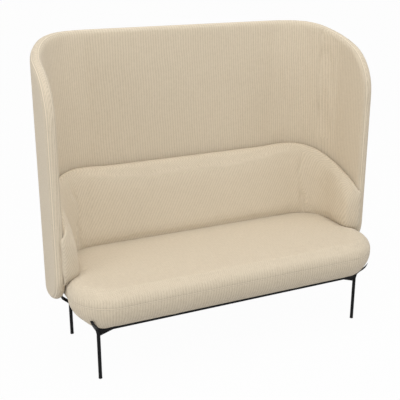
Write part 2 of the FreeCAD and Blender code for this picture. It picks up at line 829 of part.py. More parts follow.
def shell_boards(board):
    """The bent plywood of the shell in one piece, drilled for its fasteners."""
    holes = fastener_holes(shell_tee_nut_barrel_diameter, pad_screw_diameter + bolt_clearance,
                           outer_board_offset - 1.0, inner_board_offset + 1.0)
    return without(board, holes)


def right_batten():
    """Joint strap over the right-hand joint of the boards, on the sitter's side of it."""
    strap = wall(inner_board_offset, inner_board_offset + batten_thickness, batten_end_setback)
    half = batten_width / 2.0
    return single(strap.common(box(corner_x - half, corner_x + half, 0.0, back_y, 0.0, overall_height)))


def shell_foams(core, board):
    """Inner and outer foam of the shell: they meet in the middle of the boards' thickness at the rim."""
    middle = inside_of((outer_board_offset + inner_board_offset) / 2.0)
    batten = right_batten()
    padded = core.cut(board).cut(batten).cut(mirrored(batten))
    holes = fastener_holes(shell_bolt_diameter + bolt_clearance, pad_screw_diameter + bolt_clearance,
                           inner_board_offset - 1.0, wall_thickness + 1.0)
    pockets = fastener_holes(shell_tee_nut_flange_diameter, pad_screw_head_diameter,
                             outer_board_offset - pad_screw_head_height, outer_board_offset)
    return without(padded.common(middle), holes), without(padded.cut(middle), pockets)


def shell_covers(skin):
    """Inner and outer cover of the shell: they meet at the seam in the middle of the rolled rim."""
    front_half = inside_of(rim_seam_offset)
    holes = fastener_holes(shell_bolt_diameter + bolt_clearance, pad_screw_diameter + bolt_clearance,
                           inner_board_offset, wall_thickness + 1.0)
    return single(without(skin.common(front_half), holes)), single(skin.cut(front_half))


def pad_board_blank():
    """Plywood inside the lower back pad and its arms, before it is drilled."""
    inner = pad_board_offset + pad_board_thickness
    low = pad_board_bottom_height
    upright = plan_prism(shell_plan(pad_board_offset, front_y), low, overall_height)
    upright = upright.cut(plan_prism(shell_plan(inner, front_y - past), low - past, overall_height + past))
    return upright.common(side_prism(pad_side(pad_board_margin), overall_width))


def pad_boards(board):
    """The plywood of the pad, drilled for its screws."""
    holes = fastener_holes(shell_bolt_diameter, pad_screw_diameter + thread_fit, pad_board_offset - 1.0,
                           pad_board_offset + pad_screw_grip + 1.0)
    return without(board, holes)


def stretches(shape):
    """A U-shaped piece parted into its back and its right and left sides."""
    right = shape.common(right_stretch())
    left = shape.common(mirrored(right_stretch()))
    return single(shape.common(back_stretch())), single(left), single(right)


def both_sides(parts, name, right):
    """Add a right-hand piece and its mirror image under its two names."""
    parts["left_" + name] = mirrored(right)
    parts["right_" + name] = right


def make_parts():
    """Every sub-part by name."""
    parts = {}
    parts["front_rail"] = cross_rail(front_leg_y)
    parts["rear_rail"] = cross_rail(rear_leg_y)
    parts["centre_rail"] = centre_rail()
    both_sides(parts, "side_rail", right_side_rail())
    parts["fixing_plates"] = fixing_plates()
    seat_room = seat_body(-horn_seat_gap)
    for place, y, toward in (("front", front_leg_y, -1.0), ("rear", rear_leg_y, 1.0)):
        both_sides(parts, place + "_leg", leg(y))
        both_sides(parts, place + "_glide", glide(y))
        both_sides(parts, place + "_gusset", gusset(y))
        both_sides(parts, place + "_horn", horn(y, toward, seat_room))

    seat_outer = seat_body(0.0)
    seat_core = seat_body(cover_thickness)
    seat_skin = seat_outer.cut(seat_core)
    parts["seat_front_timber"] = front_timber()
    parts["seat_rear_timber"] = rear_timber()
    both_sides(parts, "seat_side_timber", right_timber())
    both_sides(parts, "seat_stretcher", right_stretcher())
    parts["seat_webbing"] = seat_webbing()
    parts["seat_foam"] = seat_foam(seat_core)
    parts["seat_upper_cover"] = seat_upper_cover(seat_skin)
    parts["seat_lower_cover"] = seat_lower_cover(seat_skin)
    parts["seat_dust_cover"] = seat_dust_cover()
    parts["seat_bolts"] = seat_bolts()
    parts["seat_tee_nuts"] = seat_tee_nuts()

    both_sides(parts, "shell_bracket", side_shell_bracket())
    parts["back_shell_brackets"] = back_shell_brackets()
    parts["shell_bolts"] = shell_bolts()
    parts["shell_tee_nuts"] = shell_tee_nuts()

    shell_outer = rolled_wall(0.0)
    shell_core = rolled_wall(cover_thickness)
    board = wall(outer_board_offset, inner_board_offset, shell_board_edge_setback)
    drilled = shell_boards(board)
    parts["shell_back_board"], parts["shell_left_board"], parts["shell_right_board"] = stretches(drilled)
    parts["shell_battens"] = Part.makeCompound([right_batten(), mirrored(right_batten())])
    inner_foam, outer_foam = shell_foams(shell_core, board)
    parts["shell_back_foam"], parts["shell_left_foam"], parts["shell_right_foam"] = stretches(inner_foam)
    parts["shell_outer_foam"] = single(outer_foam)
    parts["shell_inner_cover"], parts["shell_outer_cover"] = shell_covers(shell_outer.cut(shell_core))

    pad_outer = pad_body(0.0)
    pad_core = pad_body(cover_thickness)
    pad_board = pad_board_blank()
    drilled = pad_boards(pad_board)
    parts["pad_back_board"], parts["pad_left_board"], parts["pad_right_board"] = stretches(drilled)
    foam = pad_core.cut(pad_board)
    parts["pad_back_foam"], parts["pad_left_foam"], parts["pad_right_foam"] = stretches(foam)
    cover_holes = fastener_holes(pad_screw_diameter, pad_screw_diameter + bolt_clearance, wall_thickness,
                                 pad_board_offset + 1.0)
    parts["pad_cover"] = single(without(pad_outer.cut(pad_core), cover_holes))
    parts["pad_screws"] = pad_screws()
    return parts


def main():
    os.makedirs("parts", exist_ok=True)
    for name, shape in make_parts().items():
        shape.exportStep(os.path.join("parts", name + ".step"))


if __name__ == "__main__":
    main()
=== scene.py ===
import json
import math

import bpy
import numpy as np
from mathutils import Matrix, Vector


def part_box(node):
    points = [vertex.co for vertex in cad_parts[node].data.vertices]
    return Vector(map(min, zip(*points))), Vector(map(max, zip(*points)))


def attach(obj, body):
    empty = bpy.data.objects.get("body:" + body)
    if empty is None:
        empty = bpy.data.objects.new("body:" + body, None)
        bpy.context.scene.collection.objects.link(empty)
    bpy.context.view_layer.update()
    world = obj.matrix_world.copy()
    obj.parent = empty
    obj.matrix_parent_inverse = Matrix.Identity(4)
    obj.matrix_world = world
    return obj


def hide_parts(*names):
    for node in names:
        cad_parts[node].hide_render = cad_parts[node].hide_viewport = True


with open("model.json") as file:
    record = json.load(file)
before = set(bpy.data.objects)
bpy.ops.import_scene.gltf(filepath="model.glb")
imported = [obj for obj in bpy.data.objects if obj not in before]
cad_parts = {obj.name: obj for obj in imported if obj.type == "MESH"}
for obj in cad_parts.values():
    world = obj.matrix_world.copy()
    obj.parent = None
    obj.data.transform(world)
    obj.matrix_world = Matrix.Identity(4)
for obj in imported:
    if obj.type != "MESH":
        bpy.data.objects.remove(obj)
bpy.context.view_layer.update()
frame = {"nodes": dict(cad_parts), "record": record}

bl_info = {
    "name": "High back settee",
    "version": (1, 0, 0),
    "blender": (4, 5, 0),
    "location": "3D View > Sidebar > Settee",
    "description": "Dresses the packed frame of a high back settee with padded fabric and finished steel",
    "category": "Object",
}

# Plan of the shell's wall, in metres: the centre of each round corner, its outer radius, the faces of the
# wall, the middle of its rolled rim and the depths of the two seams along the rim
CORNER_X = 0.483
CORNER_Y = 0.042
OUTER_RADIUS = 0.317
WALL = 0.048
WALL_INNER_X = 0.752
WING_FRONT = -0.122
RIM_X = 0.775
RIM_Y = -0.099
RIM_RADIUS = 0.023
RIM_INNER_SEAM = 0.036
RIM_OUTER_SEAM = 0.007

# Holes of the boards and the foam that are filled before the shell is remeshed: x and z, and z of the sides
BACK_HOLES = ((-0.35, 0.318), (0.35, 0.318), (-0.42, 0.64), (0.0, 0.64), (0.42, 0.64))
SIDE_HOLES = (0.318, 0.56)
HOLE_REACH = 0.012

# Seat: its front edge, heights, round front corners and the places where its fabric sags onto the legs
SEAT_FRONT = -0.359
SEAT_SEAM = 0.3705
SEAT_FLOOR = 0.2456
SEAT_EDGE = 0.43
RAIL_CLEAR = 0.2443
SEAT_CORNER_X = 0.575
SEAT_CORNER_Y = -0.170
SEAT_CORNER_RADIUS = 0.189
SAG_X = 0.652
SAG_FRONT_Y = -0.242
SAG_REAR_Y = 0.178

# Plan of the back pad at the seat: its inner corners, its face and how far that leans back
PAD_CORNER_X = 0.535
PAD_CORNER_Y = 0.004
PAD_CORNER_RADIUS = 0.165
PAD_FACE_Y = 0.169
PAD_LEAN = 0.215
ARM_THICKNESS = 0.052

# Side line of the back pad: its front edge, its level top, where its arms begin to fall and how fast
PAD_FRONT = -0.118
PAD_TOP = 0.793
PAD_FALL_FROM = 0.247
PAD_FALL = math.tan(math.radians(20.8))
PAD_FALL_BLEND = 0.040
PAD_FRONT_ROUND = 0.110

SHELL_COVER = 0.0018
SEAT_COVER = 0.0012
HORN_ANGLE = math.radians(48.0)
SWELL_FRAMES = 20

# Camera fitted to the photograph
CAMERA_PLACE = (-1.5009, -3.0640, 1.8108)
CAMERA_TILT = math.radians(71.1834)
CAMERA_TURN = math.radians(-25.1107)
CAMERA_LENS = 68.579


def smooth_step(low, high, value):
    """0 below low, 1 above high and an even curve between them."""
    t = np.clip((value - low) / (high - low), 0.0, 1.0)
    return t * t * (3.0 - 2.0 * t)


# Sizes and colours that a user would change

class SetteeSizes(bpy.types.PropertyGroup):
    shell_voxel: bpy.props.FloatProperty(
        name="Shell mesh size", description="Edge length of the shell's mesh", default=0.008, unit="LENGTH")
    pad_voxel: bpy.props.FloatProperty(
        name="Pad mesh size", description="Edge length of the meshes of the seat and the back pad",
        default=0.0085, unit="LENGTH")
    pad_pressure: bpy.props.FloatProperty(
        name="Filling pressure", description="Pressure that fills the padded pieces", default=4.0)
    seat_swell: bpy.props.FloatProperty(
        name="Seat swell", description="How far the seat's cover may stand out", default=0.007, unit="LENGTH")
    pad_swell: bpy.props.FloatProperty(
        name="Back pad swell", description="How far the back pad's cover may stand out", default=0.010,
        unit="LENGTH")
    pad_softness: bpy.props.FloatProperty(
        name="Back pad softness", description="Width of the soft edge along the top of the back pad",
        default=0.055, unit="LENGTH")
    arm_fullness: bpy.props.FloatProperty(
        name="Arm fullness", description="How much fuller the arms are at the seat", default=0.018,
        unit="LENGTH")
    steel_voxel: bpy.props.FloatProperty(
        name="Steel mesh size", description="Edge length of the meshes of the forged pieces", default=0.0013,
        unit="LENGTH")
    rib_pitch: bpy.props.FloatProperty(
        name="Rib pitch", description="Distance between the broad ribs of the weave", default=0.0128,
        unit="LENGTH")
    yarn_pitch: bpy.props.FloatProperty(
        name="Yarn pitch", description="Distance between the yarns of the weave", default=0.0026,
        unit="LENGTH")


class SetteeColours(bpy.types.PropertyGroup):
    fabric: bpy.props.FloatVectorProperty(
        name="Fabric", description="Colour of the upholstery in linear light", subtype="COLOR", size=3,
        default=(0.660, 0.574, 0.446))
    steel: bpy.props.FloatVectorProperty(
        name="Steel base", description="Colour of the powder coat in linear light", subtype="COLOR", size=3,
        default=(0.0035, 0.0035, 0.004))
    floor: bpy.props.FloatVectorProperty(
        name="Floor", description="Colour of the floor in linear light", subtype="COLOR", size=3,
        default=(0.60, 0.60, 0.60))


def sizes():
    return bpy.context.scene.settee_sizes


def colours():
    return bpy.context.scene.settee_colours


# Shader maths on sockets

class Value:
    """A socket that can be added, subtracted and multiplied like a number."""

    def __init__(self, graph, socket):
        self.graph = graph
        self.socket = socket

    def maths(self, operation, *others):
        return self.graph.node("ShaderNodeMath", {"operation": operation}, [self, *others])

    def __add__(self, other):
        return self.maths("ADD", other)

    __radd__ = __add__

    def __mul__(self, other):
        return self.maths("MULTIPLY", other)

    __rmul__ = __mul__

    def __sub__(self, other):
        return self.maths("SUBTRACT", other)

    def __rsub__(self, other):
        return self.graph.node("ShaderNodeMath", {"operation": "SUBTRACT"}, [other, self])

    def __abs__(self):
        return self.maths("ABSOLUTE")

    def sine(self):
        return self.maths("SINE")

    def fade(self, low, high, start=0.0, finish=1.0):
        """Even ramp from start at low to finish at high."""
        return self.graph.node(
            "ShaderNodeMapRange", {"interpolation_type": "SMOOTHSTEP"}, [self, low, high, start, finish])


class Graph:
    """The nodes of one new material or world."""

    def __init__(self, name, kind="materials"):
        self.owner = getattr(bpy.data, kind).new(name)
        self.owner.use_nodes = True
        self.tree = self.owner.node_tree
        self.surface = self.tree.nodes.get("Principled BSDF")

    def node(self, kind, settings=None, inputs=(), output=0):
        """Add a node: settings first, then its inputs by place or by name; gives one of its outputs."""
        node = self.tree.nodes.new(kind)
        for key, setting in (settings or {}).items():
            if key == "stops":
                self.set_stops(node.color_ramp, setting)
            else:
                setattr(node, key, setting)
        pairs = inputs.items() if isinstance(inputs, dict) else enumerate(inputs)
        for key, value in pairs:
            self.join(value, node.inputs[key])
        return Value(self, node.outputs[output])

    def set_stops(self, ramp, stops):
        """Place and colour each stop of a colour ramp."""
        while len(ramp.elements) < len(stops):
            ramp.elements.new(1.0)
        for element, (place, colour) in zip(ramp.elements, stops):
            element.position = place
            element.color = (*colour, 1.0)

    def join(self, value, socket):
        """Link a value to a socket, or write a plain number or colour on it."""
        if isinstance(value, Value):
            self.tree.links.new(value.socket, socket)
        elif isinstance(value, (tuple, list)) and len(value) == 3 and len(socket.default_value) == 4:
            socket.default_value = (*value, 1.0)
        else:
            socket.default_value = value

    def feed(self, **inputs):
        """Feed the surface: Base_Color and the like, with an underscore for each space."""
        for name, value in inputs.items():
            self.join(value, self.surface.inputs[name.replace("_", " ")])

    def mix(self, factor, first, second):
        """Mix two colours: the node keeps its colours in sockets 6 and 7 and gives them in socket 2."""
        return self.node("ShaderNodeMix", {"data_type": "RGBA"}, {0: factor, 6: first, 7: second}, 2)

    def noise(self, vector, scale, detail=2.0, roughness=0.5):
        return self.node("ShaderNodeTexNoise", {}, {
            "Vector": vector, "Scale": scale, "Detail": detail, "Roughness": roughness})

    def place(self):
        return self.node("ShaderNodeTexCoord", output="Object")

    def attribute(self, name, output="Fac"):
        return self.node("ShaderNodeAttribute", {"attribute_name": name, "attribute_type": "GEOMETRY"},
                         output=output)

    def parts(self, vector):
        """The three numbers of a vector."""
        first = self.node("ShaderNodeSeparateXYZ", {}, [vector])
        return [Value(self, output) for output in first.socket.node.outputs]

    def bump(self, height, strength, distance):
        return self.node("ShaderNodeBump", {}, {"Strength": strength, "Distance": distance, "Height": height})

    def show(self, shader):
        """Link a shader to the output of the tree."""
        output = next(node for node in self.tree.nodes if node.type.startswith("OUTPUT"))
        self.tree.links.new(shader.socket, output.inputs["Surface"])


# Materials

def woven_fabric(name, slant, rib_strength):
    """Warm woven upholstery: soft broad ribs that lean by a slant, over a fine yarn, with its seams, a
    painted shadow beside them and painted shade in the creases.
    """
    graph = Graph(name)
    across, along, plain = graph.parts(graph.attribute("weave", "Vector"))
    seam = graph.attribute("seam")
    place = graph.place()
    turn = math.radians(slant)
    wander = graph.noise(place, 5.0, 2.0) * 0.020
    lead = across * math.cos(turn) + along * math.sin(turn) + wander
    cross = along * math.cos(turn) - across * math.sin(turn) + wander
    rib = (lead * (2.0 * math.pi / sizes().rib_pitch)).sine() * (1.0 - plain)
    twill = ((lead + cross * 0.6) * (2.0 * math.pi / (sizes().rib_pitch * 0.62))).sine()
    check_turns = 2.0 * math.pi / (sizes().rib_pitch * 0.8)
    check = (lead * check_turns).sine() * (cross * check_turns).sine() * plain
    yarn_turns = 2.0 * math.pi / sizes().yarn_pitch
    yarn = (lead * yarn_turns).sine() * (cross * yarn_turns).sine()
    patch = graph.noise(place, 85.0, 3.0)
    cloud = graph.noise(place, 2.2, 2.0)
    base = colours().fabric
    light = tuple(min(c * 1.07, 1.0) for c in base)
    dark = (base[0] * 0.85, base[1] * 0.83, base[2] * 0.79)
    shade = (rib * (0.42 * rib_strength) + check * 0.5 + twill * 0.13 + yarn * 0.20
             + (patch - 0.5) * 0.9 + (cloud - 0.5) * 0.3)
    colour = graph.mix((0.40 - shade * 0.62).fade(0.0, 1.0), light, dark)
    away = abs(seam)
    shadow = away.fade(0.0026, 0.0062, 1.0, 0.0) * 0.26
    colour = graph.mix(shadow, colour, tuple(c * 0.5 for c in base))
    # Painted shade: the fabric darkens in the creases where the pieces meet
    colour = graph.mix(graph.attribute("crease") * 0.26, colour, tuple(c * 0.40 for c in base))
    piping = away.fade(0.0009, 0.0024, 1.0, 0.0)
    stitch = ((across + along) * (2.0 * math.pi / 0.0052)).sine().fade(-0.8, 0.2, 0.45, 1.0) * piping
    colour = graph.mix(stitch * 0.9, colour, tuple(min(c * 1.30, 1.0) for c in base))
    relief = (rib * (0.75 * rib_strength) + check * 0.6 + twill * 0.25 + yarn * 0.4
              + patch * 0.5 + stitch * 0.9 - shadow * 2.0)
    graph.feed(Base_Color=colour, Roughness=0.86 + (patch - 0.5) * 0.12,
               Normal=graph.bump(relief, 0.5, 0.0010), Specular_IOR_Level=0.2,
               Sheen_Weight=0.2, Sheen_Roughness=0.45)
    return graph.owner


def powder_coat():
    """Fine-grained black powder coat, a little lighter in patches."""
    graph = Graph("black_powder_coat")
    place = graph.place()
    grain = graph.noise(place, 1400.0, 2.0)
    patch = graph.noise(place, 14.0, 3.0)
    base = colours().steel
    colour = graph.mix(patch, tuple(base), tuple(c * 1.9 for c in base))
    graph.feed(Base_Color=colour, Roughness=0.44 + patch * 0.16, Normal=graph.bump(grain, 0.25, 0.0002),
               Specular_IOR_Level=0.14)
    return graph.owner


def moulded_plastic():
    """Dark nylon of the glides."""
    graph = Graph("dark_nylon")
    place = graph.place()
    grain = graph.noise(place, 900.0, 2.0)
    graph.feed(Base_Color=graph.mix(grain, (0.020, 0.020, 0.021), (0.034, 0.034, 0.036)),
               Roughness=0.5 + grain * 0.15, Normal=graph.bump(grain, 0.2, 0.0001))
    return graph.owner


def sawn_timber():
    """Pale softwood with long grain."""
    graph = Graph("sawn_timber")
    x, y, z = graph.parts(graph.place())
    squeezed = graph.node("ShaderNodeCombineXYZ", {}, [x * 0.12, y, z])
    rings = graph.noise(squeezed, 55.0, 4.0, 0.6)
    fibres = graph.noise(squeezed, 420.0, 2.0)
    colour = graph.node("ShaderNodeValToRGB", {"stops": [
        (0.30, (0.42, 0.27, 0.14)), (0.55, (0.62, 0.44, 0.26)), (0.75, (0.72, 0.55, 0.35))]}, [rings])
    graph.feed(Base_Color=colour, Roughness=0.62 + fibres * 0.2, Normal=graph.bump(fibres, 0.3, 0.0004))
    return graph.owner


def plywood():
    """Birch plywood: wide pale grain on the face."""
    graph = Graph("birch_plywood")
    x, y, z = graph.parts(graph.place())
    squeezed = graph.node("ShaderNodeCombineXYZ", {}, [x, y, z * 0.1])
    figure = graph.noise(squeezed, 26.0, 5.0, 0.55)
    pores = graph.noise(squeezed, 600.0, 2.0)
    colour = graph.mix(figure, (0.74, 0.58, 0.38), (0.60, 0.43, 0.25))
    graph.feed(Base_Color=colour, Roughness=0.5 + pores * 0.2, Normal=graph.bump(pores, 0.2, 0.0003))
    return graph.owner


def open_foam():
    """Cut foam with open cells."""
    graph = Graph("cut_foam")
    cells = graph.node("ShaderNodeTexVoronoi", {"feature": "F1"}, {"Vector": graph.place(), "Scale": 520.0})
    colour = graph.mix(cells, (0.80, 0.75, 0.60), (0.92, 0.88, 0.74))
    graph.feed(Base_Color=colour, Roughness=0.95, Normal=graph.bump(cells, 0.5, 0.0008))
    return graph.owner


def elastic_webbing():
    """Woven elastic strap with bands along its edges."""
    graph = Graph("elastic_webbing")
    x, y, z = graph.parts(graph.place())
    weave = (x * 2400.0).sine() * (y * 2400.0).sine()
    colour = graph.mix(weave.fade(-1.0, 1.0), (0.10, 0.09, 0.085), (0.24, 0.22, 0.20))
    graph.feed(Base_Color=colour, Roughness=0.85, Normal=graph.bump(weave, 0.5, 0.0005))
    return graph.owner


def dust_cloth():
    """Thin black non-woven cloth with its embossed dots."""
    graph = Graph("dust_cloth")
    x, y, z = graph.parts(graph.place())
    dots = (x * 2100.0).sine() * (y * 2100.0).sine()
    fibres = graph.noise(graph.place(), 300.0, 4.0)
    colour = graph.mix(fibres, (0.012, 0.012, 0.012), (0.045, 0.045, 0.045))
    graph.feed(Base_Color=colour, Roughness=0.9, Normal=graph.bump(dots * 0.5 + fibres, 0.4, 0.0004))
    return graph.owner


def zinc_steel():
    """Zinc plated steel of the hidden fasteners."""
    graph = Graph("zinc_steel")
    brushed = graph.noise(graph.place(), 380.0, 3.0)
    colour = graph.mix(brushed, (0.50, 0.52, 0.55), (0.66, 0.67, 0.68))
    graph.feed(Base_Color=colour, Metallic=1.0, Roughness=0.28 + brushed * 0.2)
    return graph.owner


# Mesh helpers

def deselect():
    """Leave edit mode and select nothing."""
    if bpy.context.object and bpy.context.object.mode != "OBJECT":
        bpy.ops.object.mode_set(mode="OBJECT")
    bpy.ops.object.select_all(action="DESELECT")


def make_active(piece):
    deselect()
    piece.select_set(True)
    bpy.context.view_layer.objects.active = piece


def cube_between(low, high):
    """Cube primitive between two corners."""
    deselect()
    centre = [(a + b) / 2.0 for a, b in zip(low, high)]
    bpy.ops.mesh.primitive_cube_add(size=1.0, location=centre, scale=[b - a for a, b in zip(low, high)])
    bpy.ops.object.transform_apply(location=True, rotation=True, scale=True)
    return bpy.context.object


def joined_copy(name, nodes, fillers=()):
    """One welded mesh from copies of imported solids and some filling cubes."""
    copies = list(fillers)
    for node in nodes:
        copy = bpy.data.objects.new(name, frame["nodes"][node].data.copy())
        bpy.context.scene.collection.objects.link(copy)
        copies.append(copy)
    deselect()
    for copy in copies:
        copy.select_set(True)
    bpy.context.view_layer.objects.active = copies[-1]
    bpy.ops.object.join()
    piece = bpy.context.object
    piece.name = name
    piece.data.materials.clear()
    bpy.ops.object.mode_set(mode="EDIT")
    bpy.ops.mesh.select_all(action="SELECT")
    bpy.ops.mesh.remove_doubles(threshold=0.00002)
    bpy.ops.object.mode_set(mode="OBJECT")
    return piece


def voxel_remesh(piece, size):
    """Give a closed form an even mesh."""
    make_active(piece)
    piece.data.remesh_voxel_size = size
    bpy.ops.object.voxel_remesh()


def apply_modifier(piece, kind, **settings):
    """Add a modifier and apply it."""
    make_active(piece)
    bpy.ops.object.modifier_add(type=kind)
    modifier = piece.modifiers[-1]
    for key, setting in settings.items():
        setattr(modifier, key, setting)
    bpy.ops.object.modifier_apply(modifier=modifier.name)


def points_of(piece):
    points = np.empty(len(piece.data.vertices) * 3, np.float32)
    piece.data.vertices.foreach_get("co", points)
    return points.reshape(-1, 3).astype(np.float64)


def set_points(piece, points):
    piece.data.vertices.foreach_set("co", points.astype(np.float32).ravel())
    piece.data.update()


def fill_with_pressure(piece, reach, freedom):
    """Let a pad swell as cloth under pressure; freedom runs from 0 where it is held to 1 where it is free."""
    start = points_of(piece)
    normals = normals_of(piece)
    free = freedom(start)
    held = piece.vertex_groups.new(name="held")
    held.add([int(index) for index in np.nonzero(free < 0.02)[0]], 1.0, "REPLACE")
    make_active(piece)
    bpy.ops.object.modifier_add(type="CLOTH")
    cloth = piece.modifiers[-1]
    cloth.settings.quality = 3
    cloth.settings.use_pressure = True
    cloth.settings.uniform_pressure_force = sizes().pad_pressure
    cloth.settings.effector_weights.gravity = 0.0
    cloth.settings.vertex_group_mass = "held"
    cloth.settings.shrink_min = -0.012
    cloth.settings.bending_stiffness = 2.0
    cloth.point_cache.frame_start = 1
    cloth.point_cache.frame_end = SWELL_FRAMES
    for number in range(1, SWELL_FRAMES + 1):
        bpy.context.scene.frame_set(number)
    bpy.ops.object.modifier_apply(modifier=cloth.name)
    bpy.context.scene.frame_set(1)
    piece.vertex_groups.clear()
    swell = np.sum((points_of(piece) - start) * normals, axis=1)
    swell = np.clip(swell, 0.0, reach * free)
    set_points(piece, start + normals * swell[:, None])
    apply_modifier(piece, "SMOOTH", factor=0.5, iterations=3)


def along_wall(points):
    """Distance along the shell's U-shaped wall from its middle, and depth inwards from its outer face."""
    x, y = points[:, 0], points[:, 1]
    side = np.where(x < 0.0, -1.0, 1.0)
    out_x = np.abs(x) - CORNER_X
    out_y = y - CORNER_Y
    middle_radius = OUTER_RADIUS - WALL / 2.0
    quarter = middle_radius * math.pi / 2.0
    angle = np.arctan2(np.maximum(out_x, 0.0), np.maximum(out_y, 1e-9))
    along = np.where(out_x <= 0.0, np.abs(x), CORNER_X + middle_radius * angle)
    along = np.where(out_y <= 0.0, CORNER_X + quarter - out_y, along)
    depth = np.where(out_y <= 0.0, OUTER_RADIUS - out_x,
                     OUTER_RADIUS - np.hypot(np.maximum(out_x, 0.0), out_y))
    depth = np.where((out_x <= 0.0) & (out_y > 0.0), OUTER_RADIUS - out_y, depth)
    return side * along, depth


def write_attributes(piece, across, along, plain, seam, crease):
    """Store the weave's directions, how plain it is, the distance to the nearest seam, and the painted shade
    of the creases.
    """
    weave = piece.data.attributes.new("weave", "FLOAT_VECTOR", "POINT")
    rows = np.stack([across, along, plain], axis=1)
    weave.data.foreach_set("vector", rows.astype(np.float32).ravel())
    distance = piece.data.attributes.new("seam", "FLOAT", "POINT")
    distance.data.foreach_set("value", seam.astype(np.float32))
    painted_shade_layer = piece.data.attributes.new("crease", "FLOAT", "POINT")
    painted_shade_layer.data.foreach_set("value", np.clip(crease, 0.0, 1.0).astype(np.float32))


def finish_piece(piece, material, replaced):
    """Smooth, give the material, hang the piece on the root body and hide the imported parts it replaces."""
    make_active(piece)
    bpy.ops.object.shade_smooth()
    piece.data.materials.append(material)
    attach(piece, "root")
    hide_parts(*replaced)


def normals_of(piece):
    normals = np.empty(len(piece.data.vertices) * 3, np.float32)
    piece.data.vertices.foreach_get("normal", normals)
    return normals.reshape(-1, 3).astype(np.float64)


# Pieces

class SETTEE_OT_shell(bpy.types.Operator):
    """Upholstered wall that wraps round the back and the sides, with its rolled rim"""
    bl_idname = "settee.shell"
    bl_label = "Shell"

    def execute(self, context):
        fillers = []
        for x, z in BACK_HOLES:
            fillers.append(cube_between((x - HOLE_REACH, 0.316, z - HOLE_REACH),
                                        (x + HOLE_REACH, 0.352, z + HOLE_REACH)))
        for low_x, high_x in ((-0.793, -0.757), (0.757, 0.793)):
            for z in SIDE_HOLES:
                fillers.append(cube_between((low_x, -0.002, z - HOLE_REACH), (high_x, 0.022, z + HOLE_REACH)))
        nodes = ["shell_back_foam", "shell_left_foam", "shell_right_foam", "shell_outer_foam",
                 "shell_back_board", "shell_left_board", "shell_right_board", "shell_battens"]
        piece = joined_copy("shell_upholstery", nodes, fillers)
        voxel_remesh(piece, sizes().shell_voxel)
        apply_modifier(piece, "SMOOTH", factor=0.5, iterations=6)
        set_points(piece, points_of(piece) + normals_of(piece) * SHELL_COVER)
        points = points_of(piece)
        across, depth = along_wall(points)
        normals = normals_of(piece)
        forward = smooth_step(0.2, 0.9, -normals[:, 1]) * (np.abs(points[:, 0]) > 0.70)
        across = across + np.sign(points[:, 0]) * depth * forward
        along = points[:, 2] + depth * smooth_step(0.2, 0.9, normals[:, 2])
        outside = smooth_step(0.020, 0.004, depth)
        inner_seam, outer_seam = depth - RIM_INNER_SEAM, depth - RIM_OUTER_SEAM
        seam = np.where(np.abs(inner_seam) < np.abs(outer_seam), inner_seam, outer_seam)
        # Painted shade on the shell's inner wall, darkest just above the back pad's top line and fading
        # upwards
        over_pad = points[:, 2] - PAD_TOP + np.maximum(PAD_FALL_FROM - points[:, 1], 0.0) * PAD_FALL
        inside = smooth_step(0.030, 0.044, depth) * smooth_step(WING_FRONT, WING_FRONT + 0.06, points[:, 1])
        crease = inside * np.exp(-np.maximum(over_pad, 0.0) / 0.022)
        write_attributes(piece, across, along, 0.75 * outside, seam, crease)
        finish_piece(piece, woven_fabric("shell_fabric", 3.0, 0.9),
                     nodes[:4] + ["shell_inner_cover", "shell_outer_cover"])
        return {"FINISHED"}


